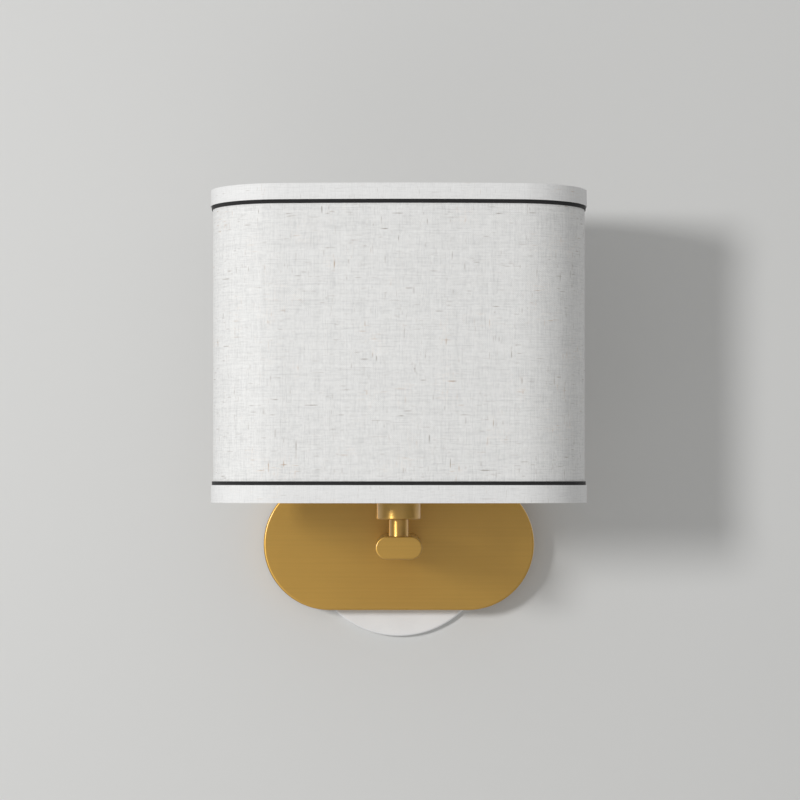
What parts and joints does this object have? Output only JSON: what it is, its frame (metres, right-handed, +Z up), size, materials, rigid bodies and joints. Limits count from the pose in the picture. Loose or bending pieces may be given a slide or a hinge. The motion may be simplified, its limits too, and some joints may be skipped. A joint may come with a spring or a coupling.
{
  "type": "fabric shade wall light",
  "caption": "Wall light with a soft-cornered linen drum shade on a brass arm and stadium backplate, over a round white cover disc.",
  "frame": {"origin": "centre of the wall disc's back face, on the wall, at the height of the backplate's centre", "axes": "+Z up, +Y into the wall, so the light stands out towards -Y; +X to the right as seen from the room"},
  "size_m": [0.242, 0.1654, 0.2929],
  "materials": {
    "satin_brass": "satin, brushed along its length",
    "plain_brass": "turned",
    "white_paint": "satin white paint",
    "zinc_steel": "zinc plated",
    "green_screw": "green dyed zinc",
    "block_plastic": "moulded natural nylon",
    "black_phenolic": "moulded, semi-gloss",
    "line_insulation": "extruded",
    "neutral_insulation": "extruded",
    "ground_insulation": "extruded",
    "white_linen": "slub linen weave",
    "shade_liner": "smooth laminate",
    "white_tape": "fine plain tape",
    "black_tape": "ribbed tape",
    "frame_wire": "white powder coat",
    "clear_glass": "clear",
    "filament_coat": "phosphor coat",
    "nickel_cap": "nickel bright",
    "black_glass": "fused glass"
  },
  "bodies": {
    "wall_unit": {"wall_disc": "white_paint", "crossbar": "zinc_steel", "ground_screw": "green_screw", "ring_terminals": "zinc_steel", "terminal_block": "block_plastic", "block_screws": "zinc_steel", "block_fixing_screw": "zinc_steel", "backplate": "satin_brass", "plate_set_screws": "zinc_steel", "star_washer": "zinc_steel", "plate_nut": "zinc_steel", "plate_nipple": "plain_brass", "nipple_bush": "block_plastic", "arm_tube": "satin_brass", "arm_root_plug": "plain_brass", "locating_pin": "zinc_steel", "arm_end_cap": "satin_brass", "arm_nut": "zinc_steel", "stem_nipple": "plain_brass", "stem_tube": "satin_brass", "lampholder_cup": "satin_brass", "cup_nut": "zinc_steel", "holder_dome": "black_phenolic", "holder_core": "black_phenolic", "screw_shell": "plain_brass", "line_terminal": "plain_brass", "neutral_terminal": "plain_brass", "plunger_spring": "zinc_steel", "holder_barrel": "black_phenolic", "line_wire": "line_insulation", "neutral_wire": "neutral_insulation", "ground_wire": "ground_insulation"},
    "shade": {"shade_linen": "white_linen", "shade_liner": "shade_liner", "bottom_wire_ring": "frame_wire", "top_wire_ring": "frame_wire", "shade_fitter": "frame_wire", "bottom_black_tape": "black_tape", "top_black_tape": "black_tape", "bottom_white_tape": "white_tape", "top_white_tape": "white_tape"},
    "retaining_ring": {"shade_ring": "black_phenolic"},
    "contact": {"contact_plunger": "plain_brass"},
    "lamp": {"lamp_tip": "nickel_cap", "lamp_insulator": "black_glass", "lamp_cap": "nickel_cap", "lamp_glass": "clear_glass", "lamp_pillar": "clear_glass", "lamp_filaments": "filament_coat", "lamp_leads": "nickel_cap"}
  },
  "joints": [
    {"name": "shade_turn", "type": "hinge", "parent": "wall_unit", "child": "shade", "pos_m": [0, -0.11, 0.0615], "axis": [0, 0, 1], "range_deg": [-30, 30]},
    {"name": "ring_turn", "type": "hinge", "parent": "wall_unit", "child": "retaining_ring", "pos_m": [0, -0.11, 0.0652], "axis": [0, 0, 1], "range_deg": [0, 90]},
    {"name": "contact_rise", "type": "slide", "parent": "wall_unit", "child": "contact", "axis": [0, 0, 1], "range_m": [0, 0.0026], "deforming": ["plunger_spring"]},
    {"name": "lamp_turn", "type": "hinge", "parent": "contact", "child": "lamp", "pos_m": [0, -0.11, 0.065], "axis": [0, 0, 1], "range_deg": [0, 360]}
  ],
  "couplings": [
    {"joint": "contact_rise", "follows": "lamp_turn", "m_per_rad": 0.0004043}
  ]
}
